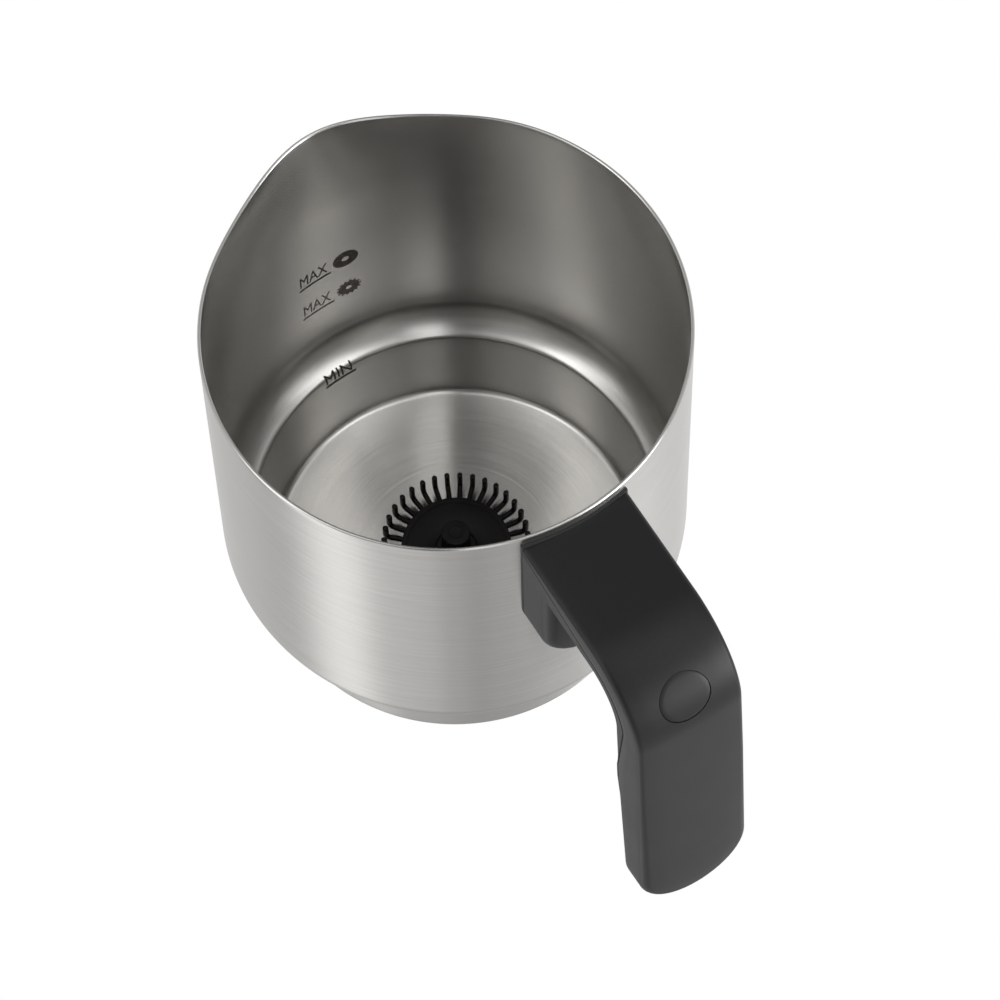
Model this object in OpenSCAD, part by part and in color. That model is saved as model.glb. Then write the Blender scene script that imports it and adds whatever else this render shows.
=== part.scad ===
// Milk-frothing jug for an induction base: a spouted steel jug with a stepped foot, a two-shell
// handle on a steel bracket, and a magnet-driven whisk that lifts off a spindle on the floor.
// Millimetres, Z up. The origin is the centre of the base's underside, which the jug stands on.
// The handle points along +X and the spout along -X.

/* [Jug] */
// Outer diameter of the upper cylinder
jug_d = 114; // [94:1:140]
// Height of the rim above the table
jug_h = 121; // [98:1:146]
// Thickness of the sheet steel
wall = 0.9; // [0.7:0.1:1.3]
// How far the top of the foot is set in from the upper cylinder
foot_step = 6.6; // [5:0.2:8]
// Height of the narrow foot that drops into the power base
foot_h = 23.8; // [20:0.2:30]
// Slope of the foot's side, which narrows downwards, in degrees
foot_slope = 8.2; // [4:0.2:10]
// Height of the shoulder between foot and cylinder
shoulder_h = 9.2; // [8.2:0.2:12]
// Outer radius where the foot turns into the floor
foot_corner_r = 2.9; // [2.3:0.1:4.5]

/* [Spout] */
// How far the lip stands out past the wall
spout_reach = 4; // [3:0.1:6]
// Radius of the lip, seen from above
spout_r = 31.4; // [26:0.2:38]
// Height of the flared part of the wall
spout_h = 30; // [24:1:36]

/* [Base] */
// Thickness of the ferritic plate under the foot
plate_t = 0.5; // [0.4:0.1:0.8]
// Thickness of the aluminium heat spreader
spreader_t = 0.8; // [0.6:0.1:1.5]

/* [Whisk] */
// Radius to the outside of the teeth
tooth_tip_r = 18.7; // [17.5:0.1:23]
// Number of teeth
tooth_count = 35; // [24:1:40]
// Width of one tooth
tooth_w = 1.2; // [0.9:0.1:1.5]
// Height of the tooth tips above the floor
tooth_tip_h = 7.6; // [6:0.2:10]
// Outer radius of the toothed ring's rim
ring_r = 13.8; // [13:0.1:15]
// Height of the disc
disc_t = 3; // [2.8:0.1:4]
// Gap between the jug floor and the disc
floor_gap = 0.8; // [0.7:0.1:1.5]
// Radius of the centre knob
knob_r = 3.6; // [3.5:0.1:4.3]
// Height of the knob above the disc
knob_h = 8; // [7:0.5:11]
// Radius of the steel spindle
spindle_r = 1.5; // [1.2:0.1:1.6]
// Diameter of one drive magnet
magnet_d = 4.8; // [4:0.1:5]
// Number of drive magnets
magnet_count = 4; // [2:2:6]

/* [Handle] */
// Width of the handle
handle_w = 28; // [23:0.5:34]
// Thickness of the handle's side face
handle_t = 10.5; // [9.5:0.5:12]
// How far the inner face bulges past the side faces
crown = 4; // [3:0.5:4]
// Distance of the handle's top face below the rim
handle_drop = 2.8; // [1:0.2:5]
// Distance from the wall to the knee's centre
strap_reach = 27; // [25:0.5:36]
// Outer radius of the knee
knee_r = 22.3; // [21:0.1:25]
// Lean of the grip away from the jug, in degrees
grip_lean = 4; // [2:0.2:8]
// Height of the grip's lower end above the table
grip_foot_z = 15; // [10:0.5:24]
// Height of the pad that hugs the wall
pad_h = 44.5; // [43:0.5:60]
// Room between the bracket's screw heads and the inside of the pad
pad_room = 0.4; // [0.3:0.1:2]
// Wall thickness of the two plastic shells
skin = 2.2; // [1.8:0.1:2.4]
// Depth of the cover's side at the wall end of the handle
cover_lip = 2.8; // [2.6:0.1:4]
// Depth of the cover's side round the knee
cover_depth = 7.4; // [6:0.2:8]
// Diameter of the round cap on the knee
cap_d = 13; // [10:0.5:14]

/* [Fixings] */
// Thickness of the steel bracket and of the plate welded to the wall
steel_t = 1.5; // [1.2:0.1:1.8]
// Width of the steel bracket
bracket_w = 14; // [11:0.5:17]
// Shank diameter of the two screws that hold the bracket
mount_screw_d = 4; // [3:0.5:4]
// Distance between those two screws
mount_screw_pitch = 14; // [12:0.5:15]
// Shank diameter of the three screws that hold the shells
shell_screw_d = 3; // [2.5:0.1:3]

/* [Clearances] */
// Radial clearance of the whisk's two running fits
running_gap = 0.05; // [0.03:0.01:0.08]
// Clearance of pieces that are pressed or glued together
seat_gap = 0.05; // [0.02:0.01:0.1]
// Gap along the parting line of the two shells
parting_gap = 0.3; // [0.2:0.05:0.5]
// Thickness of the silicone gasket behind the pad
gasket_t = 0.7; // [0.5:0.1:1]

/* [Hidden] */
$fn = 96;

STEEL = [0.74, 0.73, 0.71];
DARK_STEEL = [0.5, 0.5, 0.5];
ALUMINIUM = [0.82, 0.83, 0.84];
BRASS = [0.76, 0.62, 0.32];
NICKEL = [0.66, 0.65, 0.62];
BLACK = [0.12, 0.12, 0.13];
SOFT_BLACK = [0.17, 0.17, 0.18];
SILICONE = [0.08, 0.08, 0.08];
BUSH_WHITE = [0.86, 0.85, 0.8];

jug_r = jug_d / 2;
floor_under_z = plate_t + spreader_t;
floor_z = floor_under_z + wall;
shoulder_z = foot_h + shoulder_h;
shoulder_r = (foot_step * foot_step + shoulder_h * shoulder_h) / (2 * foot_step);
// A little more than any wall, for cuts that run past a face
past = 1;

// Radius of the foot's side at height z, drawn in by inset
function foot_side_r(z, inset) =
    jug_r - foot_step - (foot_h - z) * tan(foot_slope) - inset / cos(foot_slope);
// Radius to the centre of the foot's rounded corner, which stands on bottom_z
function foot_corner_at(bottom_z, corner, inset) =
    foot_side_r(bottom_z + corner, inset) - corner / cos(foot_slope);

// The base discs end where the foot's corner begins
base_r = foot_corner_at(floor_under_z, foot_corner_r, 0);
plate_lip = 0.5;

// Heights of the whisk
disc_z = floor_z + floor_gap;
disc_top = disc_z + disc_t;
cover_ring_t = 0.6;
disc_r = ring_r - 1.4;
hub_r = 4.2;
knob_flange_r = 5;
knob_flange_t = 1;
magnet_t = disc_t - cover_ring_t - 0.8;
magnet_pcr = (hub_r + disc_r) / 2 + 0.1;

// Spindle, sleeve and clip
weld_collar_r = spindle_r + 0.7;
weld_collar_t = 0.25;
sleeve_bore_r = spindle_r + running_gap;
sleeve_r = sleeve_bore_r + 0.95;
sleeve_flange_r = sleeve_r + 0.9;
sleeve_flange_t = 0.4;
axial_gap = 0.05;
sleeve_z = disc_z - axial_gap - sleeve_flange_t;
sleeve_head_t = 0.8;
knob_top = disc_top + knob_h;
knob_roof_t = 1.25;
sleeve_top = knob_top - knob_roof_t - 0.15;
spindle_top = sleeve_top - sleeve_head_t - axial_gap;
clip_groove_depth = 0.4;
clip_t = 0.35;
clip_z = disc_top - knob_flange_t + 0.1;
clip_r = sleeve_r + 0.35;
knob_cavity_r = clip_r + 0.1;

// Handle frame: the knee's centre, and radii measured from it
handle_z = jug_h - handle_drop;
knee_x = jug_r + strap_reach;
knee_z = handle_z - knee_r;
inner_r = knee_r - handle_t;
crown_r = inner_r - crown;
part_r = knee_r - cover_depth;
grip_end_r = handle_w / 2;
// The strap starts inside the wall, whose curve is then cut into it
strap_len = strap_reach + grip_end_r / 2;
grip_len = (knee_z - grip_foot_z) / cos(grip_lean) - grip_end_r;
// Where the cover's sides reach the full depth of the grip
full_depth_at = 20;
skin_r = knee_r - skin;
handle_edge_r = 1;
pad_corner_r = 12;
pad_edge_r = 3;
pad_z = handle_z - pad_h;
// The pad and strap stop at the gasket's outer face
gasket_r = jug_r + seat_gap + gasket_t;
hug_r = gasket_r + seat_gap;

// Bracket: the strip runs between these two radii from the knee's centre
strip_outer_r = knee_r - 6;
strip_inner_r = strip_outer_r - steel_t;
strip_tail = 12;
boss_reach = 2.8;
leg_x = jug_r + boss_reach;
leg_bottom_z = pad_z + 8;
washer_t = 0.6;
// Radius of a screw head's socket as a share of the shank's diameter
socket_share = 0.35;
mount_head_t = 2;
mount_head_r = mount_screw_d * 0.85;
pad_x = leg_x + steel_t + washer_t + mount_head_t + pad_room + skin;
mount_screw_drop = 17;
mount_z = [handle_z - mount_screw_drop, handle_z - mount_screw_drop - mount_screw_pitch];
mount_hole_r = mount_screw_d / 2 + 0.2;
tapped_r = mount_screw_d / 2 + seat_gap;

// Screws of the shells
shell_shank_r = shell_screw_d / 2;
shell_hole_r = shell_shank_r + 0.2;
shell_head_r = shell_screw_d - 0.2;
shell_head_t = 1.7;
insert_wall = 0.9;
insert_bore_r = shell_shank_r + seat_gap;
insert_r = insert_bore_r + insert_wall;
boss_wall = 1.3;
knee_angle = 33;
knee_insert_at = strip_inner_r - 4;
knee_pocket_floor = knee_r - 4.4;
cap_t = 2.4;
grip_screw_at = [30, grip_len - 4];
grip_head_seat = crown_r + 2.6;
grip_boss_foot = part_r - 0.6;
knee_screw_len = 6;
grip_screw_len = 6.5;
grip_insert_h = 4.5;

// ---------------------------------------------------------------- shapes that repeat

module tube(r_out, r_in, h) {
    difference() {
        cylinder(h = h, r = r_out);
        translate([0, 0, -past]) cylinder(h = h + 2 * past, r = r_in);
    }
}

module rounded_rect(x0, x1, half_w, r) {
    translate([x0, r - half_w]) square([x1 - x0, 2 * (half_w - r)]);
    translate([x0 + r, -half_w]) square([x1 - x0 - 2 * r, 2 * half_w]);
    for (x = [x0 + r, x1 - r], y = [r - half_w, half_w - r]) translate([x, y]) circle(r);
}

// Half section of foot and shoulder as a solid body, drawn in by inset. The shoulder is an arc that
// leaves the cylinder smoothly and meets the sloping foot at a crease.
module jug_section(inset, bottom_z) {
    corner = foot_corner_r - inset;
    corner_r = foot_corner_at(bottom_z, corner, inset);
    polygon([[0, bottom_z], [corner_r, bottom_z],
             [corner_r + corner * cos(foot_slope), bottom_z + corner - corner * sin(foot_slope)],
             [foot_side_r(shoulder_z, inset), shoulder_z], [0, shoulder_z]]);
    translate([corner_r, bottom_z + corner]) circle(corner);
    translate([jug_r - shoulder_r, shoulder_z]) circle(shoulder_r - inset);
}

// The flared cone of the spout, drawn in by inset, from inside the wall up to top_z
module spout_cone(inset, top_z) {
    flare = (spout_reach + wall) / spout_h;
    foot_z = jug_h - spout_h;
    translate([spout_r - jug_r - spout_reach, 0, foot_z])
        cylinder(h = top_z - foot_z, r1 = spout_r - flare * spout_h - inset,
                 r2 = spout_r + flare * (top_z - jug_h) - inset);
}

module jug_body(inset, bottom_z, top_z) {
    rotate_extrude() {
        jug_section(inset, bottom_z);
        translate([0, shoulder_z]) square([jug_r - inset, top_z - shoulder_z]);
    }
    spout_cone(inset, top_z);
}

// Sweeps a section along strap, knee and grip. In the section, X is the distance from the knee's
// centre and Y runs across the handle. The grip ends in a half round of radius end_r.
module along_handle(strap_len, straight_len, end_r) {
    translate([knee_x, 0, knee_z]) {
        rotate([0, -90, 0]) linear_extrude(strap_len) children();
        rotate([90, 0, 0]) rotate([0, 0, grip_lean]) rotate_extrude(angle = 90 - grip_lean) children();
        rotate([0, -grip_lean, 0]) translate([0, 0, -straight_len]) {
            linear_extrude(straight_len) children();
            if (end_r > 0) intersection() {
                translate([0, 0, -end_r]) linear_extrude(end_r) children();
                rotate([0, 90, 0]) cylinder(h = knee_r + past, r = end_r);
            }
        }
    }
}

// How far a boss of radius r may rise from the knee's centre before it meets the bent strip
function under_strip(r) = sqrt(pow(strip_inner_r - seat_gap, 2) - r * r);

// Places a piece on the grip, at a distance below the knee, pointing out through the grip's face
module on_grip(at) {
    translate([knee_x, 0, knee_z]) rotate([0, -grip_lean, 0]) translate([0, 0, -at]) rotate([0, 90, 0])
        children();
}

// Places a piece on the knee's radius through the round cap
module on_knee() {
    translate([knee_x, 0, knee_z]) rotate([0, 90 - knee_angle, 0]) children();
}

module on_mount(z, x) {
    translate([x, 0, z]) rotate([0, 90, 0]) children();
}

// Section of the whole handle, drawn in by inset: flat sides and top, and a crowned inner face
module handle_section(inset) {
    half_w = handle_w / 2 - inset;
    bow_r = (grip_end_r * grip_end_r + crown * crown) / (2 * crown);
    rounded_rect(inner_r, knee_r - inset, half_w, handle_edge_r);
    intersection() {
        translate([crown_r + bow_r, 0]) circle(bow_r - inset, $fn = 180);
        translate([crown_r, -half_w]) square([inner_r + handle_edge_r - crown_r, 2 * half_w]);
    }
}

module handle_solid(inset) {
    along_handle(strap_len, grip_len, grip_end_r - inset) handle_section(inset);
}

// Everything on the liner's side of the parting line, grown by gap
module liner_zone(gap) {
    rotate([90, 0, 0]) linear_extrude(handle_w + 2 * past, center = true) translate([knee_x, knee_z]) {
        polygon([[-strap_len - past, -knee_z], [0, -knee_z], [0, part_r + gap],
                 [-strap_len - past, knee_r - cover_lip + gap]]);
        circle(part_r + gap);
        rotate(grip_lean)
            polygon([[-knee_r, 0], [part_r + gap, 0], [inner_r + gap, -full_depth_at],
                     [inner_r + gap, -knee_z], [-knee_r, -knee_z]]);
    }
}

// Front outline of the pad, drawn in by inset, as a plate that runs out to x
module pad_plate(inset, x) {
    half_w = handle_w / 2 - inset;
    corner = pad_corner_r - inset;
    rotate([90, 0, 90]) linear_extrude(x) {
        translate([-half_w, pad_z + pad_corner_r]) square([2 * half_w, pad_h - pad_corner_r - inset]);
        translate([corner - half_w, pad_z + inset]) square([2 * (half_w - corner), pad_h - 2 * inset]);
        for (y = [corner - half_w, half_w - corner]) translate([y, pad_z + pad_corner_r]) circle(corner);
    }
}

module pad_solid(inset) {
    intersection() {
        pad_plate(inset, pad_x - inset);
        linear_extrude(handle_z)
            rounded_rect(0, pad_x - inset, handle_w / 2 - inset, pad_edge_r - inset / 2);
    }
}

// The jug's side of the gasket, which pad and strap are cut to
module wall_cut() {
    cylinder(h = jug_h + past, r = hug_r, $fn = 180);
}

// ---------------------------------------------------------------- jug

module jug_shell() {
    color(STEEL) difference() {
        jug_body(0, floor_under_z, jug_h);
        jug_body(wall, floor_z, jug_h + past);
    }
}

module heat_spreader() {
    color(ALUMINIUM) translate([0, 0, plate_t]) cylinder(h = spreader_t, r = base_r - plate_lip);
}

// Shallow cap that wraps the heat spreader and closes it against the floor
module induction_plate() {
    color(DARK_STEEL) {
        cylinder(h = plate_t, r = base_r);
        tube(base_r, base_r - plate_lip, floor_under_z);
    }
}

module spindle() {
    color(STEEL) translate([0, 0, floor_z]) {
        cylinder(h = weld_collar_t, r = weld_collar_r);
        cylinder(h = spindle_top - spindle_r - floor_z, r = spindle_r);
        translate([0, 0, spindle_top - spindle_r - floor_z]) sphere(spindle_r);
    }
}

// ---------------------------------------------------------------- whisk

module bearing_sleeve() {
    color(BUSH_WHITE) difference() {
        union() {
            translate([0, 0, sleeve_z]) cylinder(h = sleeve_top - sleeve_z, r = sleeve_r);
            translate([0, 0, sleeve_z]) cylinder(h = sleeve_flange_t, r = sleeve_flange_r);
        }
        translate([0, 0, sleeve_z - past])
            cylinder(h = sleeve_top - sleeve_head_t - sleeve_z + past, r = sleeve_bore_r);
        translate([0, 0, clip_z - seat_gap])
            tube(sleeve_r + past, sleeve_r - clip_groove_depth, clip_t + 2 * seat_gap);
    }
}

// Open ring that snaps into the sleeve's groove and keeps the whisk on the sleeve
module sleeve_clip() {
    mouth = sleeve_r;
    color(DARK_STEEL) translate([0, 0, clip_z]) difference() {
        tube(clip_r, sleeve_r - clip_groove_depth + seat_gap, clip_t);
        translate([0, -mouth / 2, -past]) cube([clip_r + past, mouth, clip_t + 2 * past]);
    }
}

module magnet_ring(r, h) {
    for (i = [0 : magnet_count - 1]) rotate(i * 360 / magnet_count) translate([magnet_pcr, 0, 0])
        cylinder(h = h, r = r);
}

module whisk_disc() {
    color(BLACK) difference() {
        translate([0, 0, disc_z]) cylinder(h = disc_t, r = disc_r);
        translate([0, 0, disc_z - past]) cylinder(h = disc_t + 2 * past, r = sleeve_r + running_gap);
        translate([0, 0, disc_top - knob_flange_t]) cylinder(h = knob_flange_t + past, r = knob_flange_r);
        translate([0, 0, disc_z - past]) tube(disc_r + past, hub_r, cover_ring_t + past);
        translate([0, 0, disc_z]) magnet_ring(magnet_d / 2 + seat_gap, cover_ring_t + magnet_t);
    }
}

module whisk_magnets() {
    color(NICKEL) translate([0, 0, disc_z + cover_ring_t + seat_gap])
        magnet_ring(magnet_d / 2, magnet_t - 2 * seat_gap);
}

module magnet_cover() {
    color(BLACK) translate([0, 0, disc_z]) tube(disc_r, hub_r + seat_gap, cover_ring_t);
}

// Rim with a crown of L-shaped teeth that reach out and then stand up
module froth_ring() {
    arm_t = 1.4;
    post_t = 1.6;
    arm_z = disc_top - arm_t - 0.4;
    tip_z = floor_z + tooth_tip_h;
    root_r = (disc_r + ring_r) / 2;
    color(BLACK) {
        translate([0, 0, disc_z]) tube(ring_r, disc_r + seat_gap, disc_t);
        for (i = [0 : tooth_count - 1]) rotate(i * 360 / tooth_count) {
            translate([root_r, -tooth_w / 2, arm_z]) cube([tooth_tip_r - root_r, tooth_w, arm_t]);
            translate([tooth_tip_r - post_t, -tooth_w / 2, arm_z]) cube([post_t, tooth_w, tip_z - arm_z]);
        }
    }
}

// Hollow grip knob that hides the sleeve, with a dimple in its top
module whisk_knob() {
    edge_r = 0.8;
    dimple_r = 3;
    dimple_depth = 0.5;
    color(BLACK) difference() {
        union() {
            translate([0, 0, disc_top - knob_flange_t]) {
                cylinder(h = knob_flange_t, r = knob_flange_r - seat_gap);
                cylinder(h = knob_flange_t + knob_h - edge_r, r = knob_r);
            }
            translate([0, 0, knob_top - edge_r]) rotate_extrude() {
                translate([knob_r - edge_r, 0]) circle(edge_r);
                square([knob_r - edge_r, edge_r]);
            }
        }
        translate([0, 0, disc_top - knob_flange_t - past])
            cylinder(h = knob_h + knob_flange_t - knob_roof_t + past, r = knob_cavity_r);
        translate([0, 0, knob_top + dimple_r - dimple_depth]) sphere(dimple_r);
    }
}

// ---------------------------------------------------------------- handle fixings

// Curved plate welded to the wall, with two tapped bosses
module weld_plate() {
    margin = 6;
    height = mount_screw_pitch + 2 * margin;
    half_w = bracket_w / 2;
    color(STEEL) difference() {
        union() {
            intersection() {
                translate([0, 0, mount_z[1] - margin]) tube(jug_r + steel_t, jug_r + seat_gap, height);
                translate([0, -half_w, mount_z[1] - margin]) cube([pad_x, bracket_w, height]);
            }
            for (z = mount_z) on_mount(z, jug_r + steel_t / 2)
                cylinder(h = boss_reach - steel_t / 2, r = mount_screw_d);
        }
        for (z = mount_z) on_mount(z, jug_r + 2 * seat_gap) cylinder(h = boss_reach, r = tapped_r);
    }
}

// Bent strip: a leg on the bosses, then along the strap and round the knee
module handle_bracket() {
    half_w = bracket_w / 2;
    color(STEEL) difference() {
        union() {
            along_handle(knee_x - leg_x, strip_tail, 0)
                translate([strip_inner_r, -half_w]) square([steel_t, bracket_w]);
            translate([leg_x, -half_w, leg_bottom_z])
                cube([steel_t, bracket_w, knee_z + strip_outer_r - leg_bottom_z]);
        }
        for (z = mount_z) on_mount(z, leg_x - past) cylinder(h = steel_t + 2 * past, r = mount_hole_r);
        on_knee() cylinder(h = knee_r, r = shell_hole_r);
    }
}

module mount_washers() {
    color(DARK_STEEL) for (z = mount_z) on_mount(z, leg_x + steel_t)
        tube(mount_head_r, mount_hole_r, washer_t);
}

module mount_screws() {
    head_x = leg_x + steel_t + washer_t;
    tip_x = jug_r + 3 * seat_gap;
    color(NICKEL) for (z = mount_z) {
        difference() {
            on_mount(z, head_x) cylinder(h = mount_head_t, r = mount_head_r);
            on_mount(z, head_x + mount_head_t / 2)
                cylinder(h = mount_head_t, r = mount_screw_d * socket_share, $fn = 6);
        }
        on_mount(z, tip_x) cylinder(h = head_x - tip_x, r = mount_screw_d / 2);
    }
}

// Thin frame between the pad and the hot wall
module pad_gasket() {
    frame_w = skin + 1;
    color(SILICONE) difference() {
        intersection() {
            tube(gasket_r, jug_r + seat_gap, handle_z);
            pad_plate(0, pad_x);
        }
        pad_plate(frame_w, pad_x);
    }
}

// ---------------------------------------------------------------- handle shells

module liner_cavity() {
    handle_solid(skin);
    pad_solid(skin);
}

// Lower shell: pad, underside of the strap and inner face of the grip
module handle_liner() {
    color(SOFT_BLACK) difference() {
        union() {
            difference() {
                union() {
                    intersection() {
                        handle_solid(0);
                        liner_zone(0);
                    }
                    intersection() {
                        pad_solid(0);
                        liner_zone(0);
                    }
                }
                liner_cavity();
            }
            intersection() {
                on_knee()
                    cylinder(h = under_strip(insert_r + boss_wall), r = insert_r + boss_wall);
                handle_solid(skin / 2);
            }
            for (at = grip_screw_at) on_grip(at) translate([0, 0, crown_r + skin / 2])
                cylinder(h = grip_boss_foot - 2 * seat_gap - crown_r - skin / 2,
                         r = shell_head_r + boss_wall);
        }
        wall_cut();
        on_knee() translate([0, 0, knee_insert_at]) cylinder(h = knee_r, r = insert_r + seat_gap);
        for (at = grip_screw_at) on_grip(at) {
            cylinder(h = knee_r, r = shell_hole_r);
            cylinder(h = grip_head_seat, r = shell_head_r + 0.3);
        }
    }
}

// Upper shell: top of the strap, knee and outer face of the grip
module handle_cover() {
    color(SOFT_BLACK) difference() {
        union() {
            difference() {
                handle_solid(0);
                handle_solid(skin);
                liner_zone(parting_gap);
            }
            intersection() {
                on_knee() translate([0, 0, strip_outer_r + seat_gap])
                    cylinder(h = knee_r, r = cap_d / 2 + boss_wall);
                handle_solid(skin / 2);
            }
            for (at = grip_screw_at) on_grip(at) translate([0, 0, grip_boss_foot])
                cylinder(h = skin_r + skin / 2 - grip_boss_foot, r = insert_r + boss_wall);
        }
        wall_cut();
        on_knee() {
            cylinder(h = knee_r, r = shell_hole_r);
            translate([0, 0, knee_pocket_floor]) cylinder(h = knee_r, r = cap_d / 2 + seat_gap);
        }
        for (at = grip_screw_at) on_grip(at) cylinder(h = skin_r, r = insert_r + seat_gap);
    }
}

module shell_screw(length) {
    difference() {
        cylinder(h = shell_head_t, r = shell_head_r);
        translate([0, 0, -shell_head_t / 2])
            cylinder(h = shell_head_t, r = shell_screw_d * socket_share, $fn = 6);
    }
    translate([0, 0, shell_head_t]) cylinder(h = length, r = shell_shank_r);
}

module threaded_insert(h) {
    tube(insert_r, insert_bore_r, h);
}

module knee_screw() {
    head_at = knee_pocket_floor + shell_head_t;
    color(NICKEL) on_knee() translate([0, 0, head_at]) rotate([180, 0, 0]) shell_screw(knee_screw_len);
}

module knee_insert() {
    color(BRASS) on_knee() translate([0, 0, knee_insert_at + seat_gap])
        threaded_insert(under_strip(insert_r) - knee_insert_at - 2 * seat_gap);
}

// Round plug that hides the knee screw and lies flush with the cover
module knee_cap() {
    color(BLACK) intersection() {
        on_knee() translate([0, 0, knee_r - cap_t]) cylinder(h = knee_r, r = cap_d / 2);
        handle_solid(0);
    }
}

module grip_screws() {
    color(NICKEL) for (at = grip_screw_at) on_grip(at) translate([0, 0, grip_head_seat - shell_head_t])
        shell_screw(grip_screw_len);
}

module grip_inserts() {
    color(BRASS) for (at = grip_screw_at) on_grip(at) translate([0, 0, grip_boss_foot + seat_gap])
        threaded_insert(grip_insert_h);
}

jug_shell();
heat_spreader();
induction_plate();
spindle();
bearing_sleeve();
sleeve_clip();
whisk_disc();
froth_ring();
whisk_magnets();
magnet_cover();
whisk_knob();
weld_plate();
handle_bracket();
mount_screws();
mount_washers();
pad_gasket();
handle_liner();
handle_cover();
knee_screw();
knee_insert();
knee_cap();
grip_screws();
grip_inserts();
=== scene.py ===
"""Milk-frothing jug: the steel jug, its whisk and its handle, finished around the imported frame.

Lengths are in metres. The origin is the centre of the underside, Z is up, and the handle points
along +X. Sizes that the frame can give are read from it, and the others repeat the design's own.
"""
import bmesh
import bpy
from math import atan2, cos, degrees, exp, hypot, pi, radians, sin, sqrt, tan
from mathutils import Matrix, Vector


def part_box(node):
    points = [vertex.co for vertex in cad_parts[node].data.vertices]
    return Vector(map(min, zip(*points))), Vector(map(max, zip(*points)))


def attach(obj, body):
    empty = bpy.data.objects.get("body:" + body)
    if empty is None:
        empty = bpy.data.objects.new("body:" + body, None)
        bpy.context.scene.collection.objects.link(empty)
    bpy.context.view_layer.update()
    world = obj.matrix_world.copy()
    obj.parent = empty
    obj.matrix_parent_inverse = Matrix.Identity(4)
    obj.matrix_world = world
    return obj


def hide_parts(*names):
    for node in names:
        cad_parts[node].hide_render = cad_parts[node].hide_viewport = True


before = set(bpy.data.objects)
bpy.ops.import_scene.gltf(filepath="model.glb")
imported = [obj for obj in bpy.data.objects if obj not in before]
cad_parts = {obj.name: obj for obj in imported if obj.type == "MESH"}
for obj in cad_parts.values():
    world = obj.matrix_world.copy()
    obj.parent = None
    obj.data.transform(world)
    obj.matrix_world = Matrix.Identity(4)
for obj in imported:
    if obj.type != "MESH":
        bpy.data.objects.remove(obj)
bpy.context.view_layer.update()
MM = 0.001

# ------------------------------------------------------------------ sizes of the object

FOOT_UNDER_Z, RIM_Z = (corner[2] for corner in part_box("jug_shell"))
JUG_R = 57 * MM
WALL = 0.9 * MM
FLOOR_Z = FOOT_UNDER_Z + WALL
FOOT_STEP = 6.6 * MM
FOOT_H = 23.8 * MM
FOOT_SLOPE = radians(8.2)
SHOULDER_H = 9.2 * MM
FOOT_CORNER_R = 2.9 * MM
SHOULDER_Z = FOOT_H + SHOULDER_H
SHOULDER_R = (FOOT_STEP ** 2 + SHOULDER_H ** 2) / (2 * FOOT_STEP)
SPOUT_REACH = 4.0 * MM
SPOUT_H = 30 * MM
SPOUT_AZIMUTH = pi

HANDLE_W = 28 * MM
HANDLE_T = 10.5 * MM
HANDLE_TOP = RIM_Z - 2.8 * MM
KNEE_R = 22.3 * MM
KNEE = Vector((JUG_R + 27 * MM, 0, HANDLE_TOP - KNEE_R))
GRIP_LEAN = radians(4)
GRIP_FOOT_Z = 14.2 * MM
GRIP_LEN = (KNEE.z - GRIP_FOOT_Z) / cos(GRIP_LEAN) - HANDLE_W / 2
CROWN = 4 * MM
HUG_R = JUG_R + 0.8 * MM
CAP_R = 6.5 * MM
CAP_ANGLE = radians(33)

# ------------------------------------------------------------------ camera


def aim_camera():
    """The viewpoint: high over the handle's side, looking down into the jug."""
    azimuth = radians(60)
    elevation = radians(63.539)
    roll = radians(-1.705)
    stand = Vector((0.46748, -0.25692, RIM_Z + 0.98176))
    forward = Vector((-sin(azimuth) * cos(elevation), cos(azimuth) * cos(elevation), -sin(elevation)))
    level = Vector((cos(azimuth), sin(azimuth), 0))
    upward = level.cross(forward)
    right = cos(roll) * level + sin(roll) * upward
    up = cos(roll) * upward - sin(roll) * level
    lens = bpy.data.cameras.new("studio_camera")
    lens.lens = 175.547
    lens.sensor_width = 36
    camera = bpy.data.objects.new("studio_camera", lens)
    bpy.context.scene.collection.objects.link(camera)
    place = Matrix((right, up, -forward)).transposed().to_4x4()
    place.translation = stand
    camera.matrix_world = place
    bpy.context.scene.camera = camera


# ------------------------------------------------------------------ shader maths


class Value:
    """A node's output that takes part in Python arithmetic by adding Math nodes."""

    def __init__(self, graph, socket):
        self.graph = graph
        self.socket = socket

    def __add__(self, other):
        return self.graph.maths("ADD", self, other)

    def __sub__(self, other):
        return self.graph.maths("SUBTRACT", self, other)

    def __rsub__(self, other):
        return self.graph.maths("SUBTRACT", other, self)

    def __mul__(self, other):
        return self.graph.maths("MULTIPLY", self, other)

    def __truediv__(self, other):
        return self.graph.maths("DIVIDE", self, other)

    def __pow__(self, other):
        return self.graph.maths("POWER", self, other)

    __radd__ = __add__
    __rmul__ = __mul__


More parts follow.
